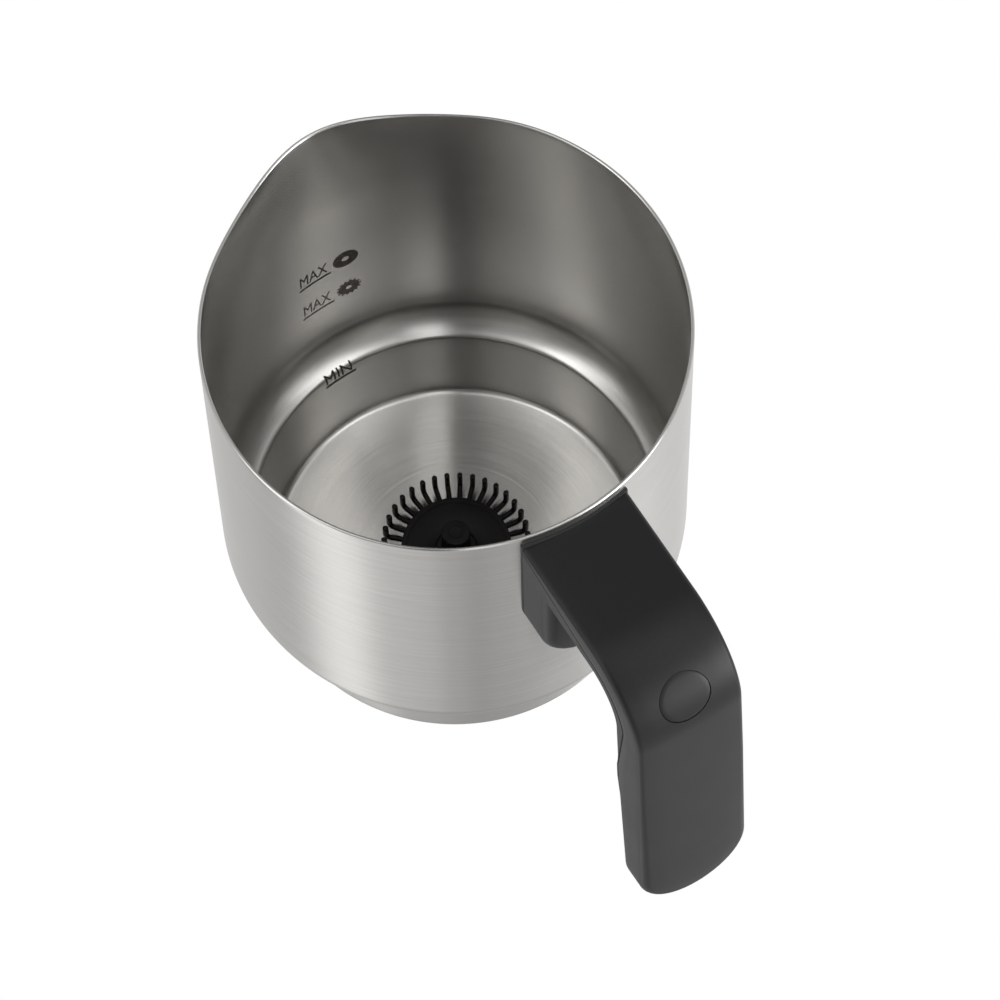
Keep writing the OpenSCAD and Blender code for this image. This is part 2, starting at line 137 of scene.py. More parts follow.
class Graph:
    """Builds one node tree."""

    def __init__(self, tree):
        self.tree = tree
        tree.nodes.clear()

    def node(self, kind, settings=None, inputs=None, output=0):
        """Adds a node, makes its settings, then fills or links its sockets. Returns one output."""
        made = self.tree.nodes.new(kind)
        for name, value in (settings or {}).items():
            if name == "stops":
                self.set_stops(made.color_ramp, value)
            else:
                setattr(made, name, value)
        for key, value in (inputs or {}).items():
            if isinstance(value, Value):
                self.tree.links.new(value.socket, made.inputs[key])
            else:
                made.inputs[key].default_value = value
        return Value(self, made.outputs[output])

    def set_stops(self, ramp, stops):
        ramp.interpolation = "EASE"
        while len(ramp.elements) < len(stops):
            ramp.elements.new(1.0)
        for element, (at, level) in zip(ramp.elements, stops):
            element.position = at
            element.color = (level, level, level, 1)

    def finish(self, shader, kind):
        self.tree.links.new(shader.socket, self.tree.nodes.new(kind).inputs["Surface"])

    def maths(self, operation, a, b=0.0):
        return self.node("ShaderNodeMath", {"operation": operation}, {0: a, 1: b})

    def place(self):
        return self.node("ShaderNodeTexCoord", output="Object")

    def split(self, vector):
        parts = self.tree.nodes.new("ShaderNodeSeparateXYZ")
        self.tree.links.new(vector.socket, parts.inputs[0])
        return [Value(self, out) for out in parts.outputs]

    def join(self, x, y, z):
        return self.node("ShaderNodeCombineXYZ", inputs={0: x, 1: y, 2: z})

    def noise(self, where, scale, detail=3.0, roughness=0.55):
        return self.node("ShaderNodeTexNoise", inputs={
            "Vector": where, "Scale": scale, "Detail": detail, "Roughness": roughness})

    def ramp(self, factor, *stops):
        return self.node("ShaderNodeValToRGB", {"stops": stops}, {0: factor})

    def mix(self, factor, a, b):
        return self.node("ShaderNodeMix", {"data_type": "RGBA"}, {
            0: factor, 6: rgba(a), 7: rgba(b)}, output=2)

    def bump(self, height, distance, strength=1.0):
        return self.node("ShaderNodeBump", inputs={
            "Strength": strength, "Distance": distance, "Height": height})


def rgba(colour):
    return (*colour, 1.0) if isinstance(colour, tuple) else colour


def finish_of(name):
    """A new material and the graph of its node tree."""
    material = bpy.data.materials.new(name)
    material.use_nodes = True
    return material, Graph(material.node_tree)


def surface(graph, colour, roughness, normal=None, **fixed):
    """Ends a graph in a Principled shader. What is fixed is set on the shader's own sockets."""
    inputs = {"Base Color": rgba(colour), "Roughness": roughness, **fixed}
    if normal is not None:
        inputs["Normal"] = normal
    shader = graph.node("ShaderNodeBsdfPrincipled", inputs=inputs)
    graph.finish(shader, "ShaderNodeOutputMaterial")


# ------------------------------------------------------------------ finishes


def brushed_steel(name, tone, brush_depth, streak=0.24, roughness=0.215, pull=0.9):
    """Steel brushed round the axis: fine rings with slow changes of tone along and across them."""
    material, g = finish_of(name)
    x, y, z = g.split(g.place())
    radius = (x * x + y * y) ** 0.5
    along = z + radius
    hairs = g.noise(g.join(x * 14, y * 14, along * 5200), 1.0, 4.0, 0.7)
    bands = g.noise(g.join(x * 9, y * 9, along * 900), 1.0, 2.0)
    cuts = g.noise(g.join(x * 42, y * 42, along * 2600), 1.0, 2.0)
    scratches = g.ramp(cuts, (0.50, 0.0), (0.74, 1.0))
    smudges = g.noise(g.place(), 38.0, 3.0)
    shade = hairs * streak + bands * (streak * 0.7) + smudges * 0.10 + (0.84 - streak * 0.8)
    shade = shade + scratches * 0.30
    colour = g.mix(shade, tuple(0.55 * c for c in tone), tone)
    finish = roughness - 0.05 + hairs * 0.07 + smudges * 0.06
    normal = g.bump(hairs + bands * 0.5 + scratches * 0.8, brush_depth, 0.35)
    surface(g, colour, finish, normal, Metallic=1.0, Anisotropic=pull,
            **{"Anisotropic Rotation": 0.25})
    return material


def moulded_black(name, tone, roughness, gloss=0.31, grain=0.05, sheen_of_use=0.08):
    """Fine spark-eroded plastic, a little smoother where hands rub it."""
    material, g = finish_of(name)
    where = g.place()
    grains = g.noise(where, 5200.0, 2.0, 0.6)
    cloud = g.noise(where, 46.0, 3.0)
    shade = cloud * 0.5 + grains * 0.35
    colour = g.mix(shade, tuple(0.8 * c for c in tone), tuple(1.25 * c for c in tone))
    finish = roughness + (grains - 0.5) * 0.10 - cloud * sheen_of_use
    surface(g, colour, finish, g.bump(grains, grain * MM, 0.5), **{"Specular IOR Level": gloss})
    return material


def plain_metal(name, tone, roughness, scale=900.0):
    """Turned, plated or rolled metal with faint tool marks and tarnish."""
    material, g = finish_of(name)
    x, y, z = g.split(g.place())
    marks = g.noise(g.join(x * 60, y * 60, z * scale * 4), 1.0, 3.0)
    tarnish = g.noise(g.place(), 150.0, 3.0)
    colour = g.mix(tarnish * 0.6 + marks * 0.3, tuple(0.7 * c for c in tone), tone)
    surface(g, colour, roughness + marks * 0.1, g.bump(marks, 0.01 * MM, 0.4), Metallic=1.0)
    return material


def soft_plastic(name, tone, roughness, scale=2500.0):
    """Moulded bearing plastic or silicone with a light mottle."""
    material, g = finish_of(name)
    mottle = g.noise(g.place(), scale, 2.0)
    cloud = g.noise(g.place(), 120.0, 2.0)
    colour = g.mix(cloud * 0.6 + mottle * 0.4, tuple(0.85 * c for c in tone), tone)
    surface(g, colour, roughness + mottle * 0.08, g.bump(mottle, 0.02 * MM, 0.4))
    return material


def level_print(name, tone, steel_tone, cover):
    """Etched print that lets a little of the steel through."""
    material, g = finish_of(name)
    x, y, z = g.split(g.place())
    specks = g.noise(g.join(x * 900, y * 900, z * 2600), 1.0, 3.0)
    colour = g.mix(g.ramp(specks, (cover, 0.0), (1.0, 1.0)), tone, steel_tone)
    surface(g, colour, 0.5 + specks * 0.1, g.bump(specks, 0.01 * MM, 0.3), Metallic=0.35)
    return material


# ------------------------------------------------------------------ studio


def light_studio():
    """White surroundings for the eye, and soft bright and dim stretches for reflections."""
    world = bpy.data.worlds.new("studio")
    bpy.context.scene.world = world
    world.use_nodes = True
    g = Graph(world.node_tree)
    x, y, z = g.split(g.node("ShaderNodeTexCoord", output="Generated"))
    azimuth = g.maths("ARCTAN2", y, x) / (2 * pi) + 0.5
    above = g.ramp(azimuth, *UPPER_ROOM)
    below = g.ramp(azimuth, *LOWER_ROOM)
    side = g.mix(g.ramp(z * 0.5 + 0.5, *HORIZON), below, above)
    dimmed = g.ramp(z, (0.30, 0.0), (0.55, 0.45), (0.74, 0.42), (0.90, 0.0))
    side = g.mix(dimmed, side, (0.12, 0.12, 0.12))
    room = g.mix(g.ramp(0 - z, (0.925, 0.0), (0.985, 1.0)), side, (0.42, 0.42, 0.42))
    # A soft lamp low behind the handle, which the knee and the rims catch
    facing = x * KNEE_LAMP[0] + y * KNEE_LAMP[1] + z * KNEE_LAMP[2]
    room = g.mix(g.ramp(facing, (0.92, 0.0), (0.985, 1.0)), room, (8.0, 8.0, 8.0))
    lit = g.node("ShaderNodeBackground", inputs={"Color": room, "Strength": ROOM_LIGHT})
    white = g.node("ShaderNodeBackground", inputs={"Color": (1, 1, 1, 1), "Strength": 1.0})
    eye = g.node("ShaderNodeLightPath", output="Is Camera Ray")
    seen = g.node("ShaderNodeMixShader", inputs={0: eye, 1: lit, 2: white})
    g.finish(seen, "ShaderNodeOutputWorld")
    bpy.context.scene.view_settings.view_transform = "Standard"


# Brightness by azimuth: 0 and 1 are -X, 0.25 is -Y, 0.5 is +X and 0.75 is +Y
UPPER_ROOM = ((0.02, 0.75), (0.09, 0.85), (0.17, 0.85), (0.205, 2.7), (0.25, 2.5), (0.27, 0.7),
              (0.345, 0.45), (0.385, 0.12), (0.415, 0.2), (0.43, 1.5), (0.465, 1.4), (0.48, 0.5),
              (0.545, 0.7), (0.58, 2.3), (0.635, 2.4), (0.66, 0.6), (0.80, 1.0), (0.87, 0.4),
              (0.917, 0.2), (0.96, 0.5))
LOWER_ROOM = ((0.0, 0.74), (0.13, 0.70), (0.178, 0.44), (0.20, 0.46), (0.235, 1.38), (0.285, 1.38),
              (0.31, 0.84), (0.344, 0.80), (0.378, 0.74), (0.411, 0.58), (0.444, 0.48), (0.478, 0.54),
              (0.56, 0.76), (0.72, 0.85), (0.93, 0.88), (1.0, 0.78))
HORIZON = ((0.40, 0.0), (0.60, 1.0))
KNEE_LAMP = (0.83, 0.55, 0.06)
ROOM_LIGHT = 1.0


def lay_floor():
    """A pale floor under the jug, seen by the eye only and only from above."""
    bm = bmesh.new()
    bmesh.ops.create_grid(bm, x_segments=1, y_segments=1, size=6.0)
    bmesh.ops.translate(bm, verts=bm.verts, vec=(0, 0, -0.2 * MM))
    mesh = bpy.data.meshes.new("studio_floor")
    bm.to_mesh(mesh)
    bm.free()
    floor = bpy.data.objects.new("studio_floor", mesh)
    bpy.context.scene.collection.objects.link(floor)
    material, g = finish_of("studio_floor")
    glow = g.node("ShaderNodeEmission", inputs={"Color": (1, 1, 1, 1), "Strength": 1.0})
    clear = g.node("ShaderNodeBsdfTransparent")
    beneath = g.node("ShaderNodeNewGeometry", output="Backfacing")
    seen = g.node("ShaderNodeMixShader", inputs={0: beneath, 1: glow, 2: clear})
    g.finish(seen, "ShaderNodeOutputMaterial")
    mesh.materials.append(material)
    floor.visible_glossy = False
    floor.visible_diffuse = False
    floor.visible_shadow = False


# ------------------------------------------------------------------ shaping helpers


def arc(cx, cz, r, start, end, steps):
    """Points on an arc in a half section, from one angle to another, in degrees."""
    angles = [radians(start + (end - start) * i / steps) for i in range(steps + 1)]
    return [(cx + r * cos(a), cz + r * sin(a)) for a in angles]


def run(a, b, steps):
    """Points on a straight stretch after a, up to and with b."""
    return [(a[0] + (b[0] - a[0]) * i / steps, a[1] + (b[1] - a[1]) * i / steps)
            for i in range(1, steps + 1)]


def turned(outline, steps):
    """A bmesh spun once round Z from a half section of (radius, height) points."""
    bm = bmesh.new()
    points = [bm.verts.new((max(r, 0.0), 0, z)) for r, z in outline]
    edges = [bm.edges.new(pair) for pair in zip(points, points[1:])]
    bmesh.ops.spin(bm, geom=points + edges, cent=(0, 0, 0), axis=(0, 0, 1), angle=2 * pi,
                   steps=steps, use_merge=True, use_normal_flip=False)
    bmesh.ops.remove_doubles(bm, verts=bm.verts, dist=0.002 * MM)
    return bm


def finished(name, bm, material, body, slot, *nodes, crease=35, turn_out=True):
    """Makes a bmesh a smooth-shaded piece that rides on a body and stands for CAD nodes."""
    if turn_out:
        bmesh.ops.recalc_face_normals(bm, faces=bm.faces)
    for face in bm.faces:
        face.smooth = True
    mesh = bpy.data.meshes.new(name)
    bm.to_mesh(mesh)
    bm.free()
    mesh.set_sharp_from_angle(angle=radians(crease))
    mesh.materials.append(material)
    piece = bpy.data.objects.new(name, mesh)
    bpy.context.scene.collection.objects.link(piece)
    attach(piece, body)
    if nodes:
        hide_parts(*nodes)
    return piece


# ------------------------------------------------------------------ jug


def foot_side_r(z, inset):
    """Radius of the foot's conical side at a height, on a face that lies inset from the outside."""
    return JUG_R - FOOT_STEP - (FOOT_H - z) * tan(FOOT_SLOPE) - inset / cos(FOOT_SLOPE)


def wall_outline(inset, bottom_z, bend):
    """Half section of one face of the jug's wall, from the axis up to just below the rim."""
    corner = FOOT_CORNER_R - inset
    corner_r = foot_side_r(bottom_z + corner, inset) - corner / cos(FOOT_SLOPE)
    arc_r = SHOULDER_R - inset
    arc_x = JUG_R - SHOULDER_R
    # The crease is where the foot's side meets the shoulder's arc
    crease_z = FOOT_H
    for _ in range(8):
        crease_z = SHOULDER_Z - sqrt(arc_r ** 2 - (foot_side_r(crease_z, inset) - arc_x) ** 2)
    crease = (foot_side_r(crease_z, inset), crease_z)
    crease_angle = degrees(atan2(crease_z - SHOULDER_Z, crease[0] - arc_x))
    foot_top = (foot_side_r(crease_z - bend, inset), crease_z - bend)
    step = degrees(bend / arc_r)
    start = arc(arc_x, SHOULDER_Z, arc_r, crease_angle + step, 0, 22)
    rounding = [(foot_top[0] * (1 - t) ** 2 + 2 * crease[0] * t * (1 - t) + start[0][0] * t * t,
                 foot_top[1] * (1 - t) ** 2 + 2 * crease[1] * t * (1 - t) + start[0][1] * t * t)
                for t in (0.0, 0.2, 0.4, 0.6, 0.8)]
    corner_arc = arc(corner_r, bottom_z + corner, corner, -90, -degrees(FOOT_SLOPE), 8)
    return corner_arc + run(corner_arc[-1], rounding[0], 8)[:-1] + rounding + start


def inner_face():
    """Half section of the inside, with the low ring that is pressed into the floor."""
    ring_r = 25 * MM
    ring_h = 0.05 * MM
    ring_w = 0.5 * MM
    floor = [(0, FLOOR_Z), (ring_r - 4 * ring_w, FLOOR_Z), (ring_r - 1.4 * ring_w, FLOOR_Z)]
    floor += [(ring_r - ring_w, FLOOR_Z), (ring_r, FLOOR_Z + ring_h), (ring_r + ring_w, FLOOR_Z)]
    floor += [(ring_r + 1.4 * ring_w, FLOOR_Z), (ring_r + 4 * ring_w, FLOOR_Z)]
    return floor + wall_outline(WALL, FLOOR_Z, 0.9 * MM)


def spout_push(azimuth, z):
    """How far the pouring lip moves the wall outwards at one place."""
    rise = (z - (RIM_Z - SPOUT_H)) / SPOUT_H
    if rise <= 0:
        return 0.0
    away = abs((degrees(azimuth - SPOUT_AZIMUTH) + 180) % 360 - 180)
    lip = SPOUT_REACH * exp(-(away / 12.5) ** 2 / 2) * rise ** 1.5
    shoulders = 0.3 * MM * exp(-((away - 33) / 8) ** 2 / 2) * rise ** 2
    return lip - shoulders


def make_jug(material):
    """One closed wall: outside, rounded rim and inside, with the pouring lip pushed out of it."""
    lip_r = WALL / 2
    below_spout = RIM_Z - SPOUT_H - 4 * MM
    outer = [(0, FOOT_UNDER_Z)] + wall_outline(0, FOOT_UNDER_Z, 0.7 * MM)
    outer += run((JUG_R, SHOULDER_Z), (JUG_R, below_spout), 6)
    outer += run((JUG_R, below_spout), (JUG_R, RIM_Z - lip_r), 18)
    rim = arc(JUG_R - lip_r, RIM_Z - lip_r, lip_r, 0, 180, 8)[1:]
    inner = inner_face()
    inner += run((JUG_R - WALL, SHOULDER_Z), (JUG_R - WALL, below_spout), 6)
    inner += run((JUG_R - WALL, below_spout), (JUG_R - WALL, RIM_Z - lip_r), 18)
    bm = turned(outer + rim + inner[::-1][1:], 288)
    for vert in bm.verts:
        if vert.co.z > RIM_Z - SPOUT_H:
            azimuth = atan2(vert.co.y, vert.co.x)
            push = spout_push(azimuth, vert.co.z)
            vert.co.x += push * cos(azimuth)
            vert.co.y += push * sin(azimuth)
    return finished("jug", bm, material, "root", "brushed_steel", "jug_shell", crease=50)


# ------------------------------------------------------------------ level marks


# The print is PRINT_T thick, and lies PRINT_SUNK deep in the steel, so that it stands just proud
PRINT_T = 0.10 * MM
PRINT_SUNK = 0.06 * MM
LINE_W = 0.72 * MM
SIGN_R = 3.45 * MM
SIGN_GAP = 0.7 * MM
SIGN_RISE = 3.1 * MM
# Longest stretch of print that stays straight, across and upwards
SLICE_ACROSS = 0.8 * MM
SLICE_UP = 0.25 * MM


def path_lengths(points):
    """Distance along a line of points to each of them."""
    lengths = [0.0]
    for a, b in zip(points, points[1:]):
        lengths.append(lengths[-1] + hypot(b[0] - a[0], b[1] - a[1]))
    return lengths


WALL_PATH = inner_face()
WALL_PATH += run(WALL_PATH[-1], (JUG_R - WALL, RIM_Z - SPOUT_H), 8)
WALL_RUN = path_lengths(WALL_PATH)


def on_wall(azimuth, along, lift):
    """A place on the inner face, at a distance along its section and lifted off it."""
    for a, b, start, end in zip(WALL_PATH, WALL_PATH[1:], WALL_RUN, WALL_RUN[1:]):
        if start <= along <= end or b is WALL_PATH[-1]:
            share = (along - start) / (end - start)
            r = a[0] + (b[0] - a[0]) * share
            z = a[1] + (b[1] - a[1]) * share
            across = hypot(b[0] - a[0], b[1] - a[1])
            r -= lift * (b[1] - a[1]) / across
            z += lift * (b[0] - a[0]) / across
            return Vector((r * cos(azimuth), r * sin(azimuth), z))


def run_at_height(z):
    """Distance along the inner face's section at which it first reaches a height."""
    for a, b, start in zip(WALL_PATH, WALL_PATH[1:], WALL_RUN):
        if a[1] <= z < b[1]:
            return start + hypot(b[0] - a[0], b[1] - a[1]) * (z - a[1]) / (b[1] - a[1])


def flat_word(word, height):
    """Letters as a flat bmesh, with their lower left corner at the origin."""
    curve = bpy.data.curves.new(word, "FONT")
    curve.body = word
    curve.size = 1.0
    curve.resolution_u = 3
    text = bpy.data.objects.new(word, curve)
    bpy.context.scene.collection.objects.link(text)
    mesh = bpy.data.meshes.new_from_object(text.evaluated_get(bpy.context.evaluated_depsgraph_get()))
    bm = bmesh.new()
    bm.from_mesh(mesh)
    bpy.data.objects.remove(text)
    low = [min(v.co[i] for v in bm.verts) for i in (0, 1)]
    high = max(v.co.y for v in bm.verts)
    size = height / (high - low[1])
    for vert in bm.verts:
        vert.co = Vector(((vert.co.x - low[0]) * size, (vert.co.y - low[1]) * size, 0))
    bmesh.ops.triangulate(bm, faces=bm.faces)
    return bm


def flat_ring(bm, cx, cy, r_out, r_in, teeth=0):
    """A flat ring, whose outer edge is notched into teeth if it has any."""
    steps = 4 * teeth if teeth else 36
    loops = []
    for radius, notched in ((r_out, teeth > 0), (r_in, False)):
        verts = []
        for i in range(steps):
            shown = radius * (0.80 if notched and i % 4 in (2, 3) else 1.0)
            angle = 2 * pi * i / steps
            verts.append(bm.verts.new((cx + shown * cos(angle), cy + shown * sin(angle), 0)))
        loops.append([bm.edges.new((verts[i], verts[(i + 1) % steps])) for i in range(steps)])
    bmesh.ops.bridge_loops(bm, edges=loops[0] + loops[1])


def bend_onto_wall(bm, start_azimuth, along, r):
    """Wraps a flat drawing onto the inner face, reading from one azimuth towards smaller ones."""
    width = max(v.co.x for v in bm.verts)
    height = max(v.co.y for v in bm.verts)
    for axis, reach, slice_w in ((0, width, SLICE_ACROSS), (1, height, SLICE_UP)):
        for i in range(1, int(reach / slice_w) + 1):
            centre = Vector((0, 0, 0))
            centre[axis] = i * slice_w
            normal = Vector((0, 0, 0))
            normal[axis] = 1
            bmesh.ops.bisect_plane(bm, geom=bm.verts[:] + bm.edges[:] + bm.faces[:], dist=0.001 * MM,
                                   plane_co=centre, plane_no=normal)
    raised = bmesh.ops.extrude_face_region(bm, geom=bm.faces[:], use_keep_orig=True)
    for part in raised["geom"]:
        if isinstance(part, bmesh.types.BMVert):
            part.co.z = PRINT_T
    # Faces are turned outwards while the drawing is flat, and stay so when it is bent
    bmesh.ops.recalc_face_normals(bm, faces=bm.faces)
    for vert in bm.verts:
        vert.co = on_wall(start_azimuth - vert.co.x / r, along + vert.co.y, vert.co.z - PRINT_SUNK)


def add_bar(bm, x0, x1, y0, y1):
    """Adds a flat four-cornered bar."""
    corners = [bm.verts.new((x, y, 0)) for x, y in ((x0, y0), (x1, y0), (x1, y1), (x0, y1))]
    bm.faces.new(corners)


def make_level_mark(name, word, azimuth, z, letter_h, material, sign=None, sweep=9.6, rise=1.3 * MM):
    """A level line with its word above it, and a round sign after it for the upper levels."""
    wall_r = JUG_R - WALL if z > FOOT_H else foot_side_r(z, WALL)
    line_len = radians(sweep) * wall_r
    bm = flat_word(word, letter_h)
    wide = max(v.co.x for v in bm.verts)
    word_w = line_len * 0.86
    for vert in bm.verts:
        vert.co.x = vert.co.x * word_w / wide + line_len * 0.04
        vert.co.y += rise
    add_bar(bm, 0, line_len, -LINE_W / 2, LINE_W / 2)
    bend_onto_wall(bm, radians(azimuth), run_at_height(z), wall_r)
    finished(name, bm, material, "root", "spring_steel", turn_out=False)
    if sign:
        hole_r, teeth, sign_material = sign
        bm = bmesh.new()
        flat_ring(bm, line_len + SIGN_GAP + SIGN_R, SIGN_RISE, SIGN_R, hole_r, teeth)
        bend_onto_wall(bm, radians(azimuth), run_at_height(z), wall_r)
        finished(name + "_sign", bm, sign_material, "root", "spring_steel", turn_out=False)


# ------------------------------------------------------------------ base and whisk


def make_base_plate(material):
    """The steel cap under the jug, with a slight dish in its middle and a fine groove near its edge."""
    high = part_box("induction_plate")[1]
    r, top = high[0], high[2]
    edge = 0.35 * MM
    outline = [(0, 0.15 * MM), (14 * MM, 0.15 * MM), (14.6 * MM, 0), (r - 6 * MM, 0)]
    outline += [(r - 5.4 * MM, 0.12 * MM), (r - 4.8 * MM, 0)]
    outline += arc(r - edge, edge, edge, -90, 0, 5)
    outline += [(r, top), (r - 0.5 * MM, top), (r - 0.5 * MM, 0.5 * MM), (0, 0.5 * MM)]
    finished("base_plate", turned(outline, 160), material, "root", "ferritic_steel", "induction_plate",
             crease=30)


FINGERS = 35
FINGER_EXTRA_H = 0.4 * MM
CROWN_TURN = radians(1.7)


def make_froth_ring(material):
    """The rim of the whisk with its crown of fingers, each reaching out and then curving upwards."""
    low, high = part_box("froth_ring")
    tip_r, under, tip_z = high[0], low[2], high[2]
    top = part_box("whisk_disc")[1][2]
    rim_out, rim_in = 13.8 * MM, 12.45 * MM
    edge = 0.3 * MM
    outline = arc(rim_out - edge, under + edge, edge, -90, 0, 3)
    outline += arc(rim_out - edge, top - edge, edge, 0, 90, 3)
    outline += [(rim_in, top), (rim_in, under), outline[0]]
    bm = turned(outline, 140)
    arm_z = top - 1.0 * MM
    bend_r = 1.5 * MM
    post_r = tip_r - 0.75 * MM
    tip_z += FINGER_EXTRA_H
    route = [(13.2 * MM, arm_z), (15.0 * MM, arm_z)]
    route += arc(post_r - bend_r, arm_z + bend_r, bend_r, -90, 0, 4)
    route += [(post_r, tip_z - 0.3 * MM), (post_r, tip_z - 0.08 * MM), (post_r, tip_z)]
    girths = [1.0] * (len(route) - 2) + [0.97, 0.8]
    for i in range(FINGERS):
        turn = Matrix.Rotation(2 * pi * i / FINGERS + CROWN_TURN, 3, "Z")
        add_finger(bm, route, girths, turn, 1.3 * MM, 1.5 * MM)
    finished("froth_ring", bm, material, "whisk", "whisk_plastic", "froth_ring", crease=50)


def add_finger(bm, route, girths, turn, width, depth):
    """Bridges rounded rings along a route in the half plane, then closes both ends."""
    sides = 8
    loops = []
    rings = []
    for i, ((r, z), girth) in enumerate(zip(route, girths)):
        before = route[max(i - 1, 0)]
        after = route[min(i + 1, len(route) - 1)]
        heading = Vector((after[0] - before[0], 0, after[1] - before[1])).normalized()
        lift = Vector((-heading.z, 0, heading.x))
        ring = []
        for k in range(sides):
            angle = 2 * pi * (k + 0.5) / sides
            swell = 1 / max(abs(cos(angle)), abs(sin(angle))) ** 0.6
            offset = lift * (depth / 2 * sin(angle) * swell * girth)
            offset += Vector((0, width / 2 * cos(angle) * swell * girth, 0))
            ring.append(bm.verts.new(turn @ (Vector((r, 0, z)) + offset)))
        rings.append(ring)
        loops.append([bm.edges.new((ring[k], ring[(k + 1) % sides])) for k in range(sides)])
    for a, b in zip(loops, loops[1:]):
        bmesh.ops.bridge_loops(bm, edges=a + b)
    for ring in (rings[0], rings[-1]):
        bm.faces.new(ring)


def make_whisk_disc(material):
    """The disc between hub and crown, stepped underneath and recessed on top for the knob's flange."""
    low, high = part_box("whisk_disc")
    r, under, top = high[0], low[2], high[2]
    hole = 2.6 * MM
    outline = [(hole, under), (4.2 * MM, under), (4.2 * MM, under + 0.6 * MM), (r, under + 0.6 * MM)]
    outline += arc(r - 0.08 * MM, top - 0.08 * MM, 0.08 * MM, 0, 90, 3)
    outline += [(5.2 * MM, top), (5.04 * MM, top - 0.1 * MM), (5.04 * MM, top - 1 * MM)]
    outline += [(hole, top - 1 * MM), (hole, under)]
    finished("whisk_disc", turned(outline, 120), material, "whisk", "whisk_plastic", "whisk_disc",
             crease=40)


def make_knob(material):
    """Pull knob with a flange let into the disc, a fillet above it and a shallow dish in its top."""
    low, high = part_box("whisk_knob")
    foot_r, under, top = high[0], low[2], high[2]
    r = 3.6 * MM
    cavity = 3.0 * MM
    flange_top = under + 1 * MM
    outline = [(cavity, under), (foot_r - 0.15 * MM, under), (foot_r, under + 0.15 * MM)]
    outline += arc(foot_r - 0.25 * MM, flange_top - 0.25 * MM, 0.25 * MM, 0, 90, 3)
    outline += arc(r + 0.4 * MM, flange_top + 0.4 * MM, 0.4 * MM, 270, 180, 4)
    outline += arc(r - 0.6 * MM, top - 0.6 * MM, 0.6 * MM, 0, 90, 6)
    outline += [(1.8 * MM, top), (1.65 * MM, top - 0.18 * MM), (1.4 * MM, top - 0.22 * MM)]
    outline += [(0, top - 0.25 * MM), (0, top - 1.25 * MM), (cavity, top - 1.25 * MM), (cavity, under)]
    finished("whisk_knob", turned(outline, 96), material, "whisk", "whisk_plastic", "whisk_knob",
             crease=50)


# ------------------------------------------------------------------ handle

HALF_W = HANDLE_W / 2
INNER_R = KNEE_R - HANDLE_T
CROWN_R = INNER_R - CROWN
# The parting line starts this far below the top at the wall, and reaches PART_R at the knee
STRAP_PART = 2.8 * MM
PART_R = KNEE_R - 7.4 * MM
SKIN = 2.2 * MM
COVER_CROWN = 0.6 * MM
BOW_R = (HALF_W ** 2 + CROWN ** 2) / (2 * CROWN)
FULL_DEPTH_AT = 20 * MM
PAD_H = 44.5 * MM
PAD_FACE_X = 66.5 * MM
PAD_CORNER_R = 12 * MM
PAD_EDGE_R = 3 * MM
DOWN = Vector((sin(GRIP_LEAN), 0, -cos(GRIP_LEAN)))
# The grip widens by this share towards its end
FLARE = 0.045


def handle_path():
    """Stations along strap, knee and grip: a centre, the way out, the parting line's radius and the
    softness of the edges, which grows towards the grip's end."""
    stations = []
    for i in range(13):
        share = i / 12
        x = HUG_R + (KNEE.x - HUG_R) * share
        part = KNEE_R - STRAP_PART + (PART_R - KNEE_R + STRAP_PART) * share
        stations.append((Vector((x, 0, KNEE.z)), Vector((0, 0, 1)), part, 0.0))
    for i in range(1, 33):
        turn = pi / 2 + (GRIP_LEAN - pi / 2) * i / 32
        stations.append((KNEE.copy(), Vector((cos(turn), 0, sin(turn))), PART_R, 0.0))
    out = Vector((cos(GRIP_LEAN), 0, sin(GRIP_LEAN)))
    for i in range(1, 25):
        at = GRIP_LEN * i / 24
        part = PART_R + (INNER_R - PART_R) * min(1.0, at / FULL_DEPTH_AT)
        stations.append((KNEE + DOWN * at, out, part, max(0.0, at / GRIP_LEN * 1.6 - 0.6)))
    return stations


def cover_half(part, soft):
    """Half section of the cover: distance from the knee's centre, and from the middle plane."""
    edge = (1.5 + 0.9 * soft) * MM
    lip = (0.3 + 1.9 * soft) * MM
    flat = HALF_W - edge
    half = [(KNEE_R - COVER_CROWN * (flat * k / 6 / HALF_W) ** 2, flat * k / 6) for k in range(6)]
    top = KNEE_R - COVER_CROWN
    half += [(top - edge + edge * cos(a), flat + edge * sin(a)) for a in
             [pi / 2 * k / 7 for k in range(8)]]
    half += [(part + lip + (top - edge - part - lip) * k / 3, HALF_W) for k in (2, 1, 0)]
    foot = part + 0.06 * MM
    half += [(foot + lip - lip * sin(a), HALF_W - lip + lip * cos(a)) for a in
             [pi / 2 * k / 5 for k in range(1, 6)]]
    half += [(foot, HALF_W - SKIN - 0.1 * MM)]
    half += [(KNEE_R - SKIN - 1.5 * MM, HALF_W - SKIN), (top - SKIN, HALF_W - SKIN - 1.2 * MM)]
    half += [(top - SKIN, 0)]
    return half


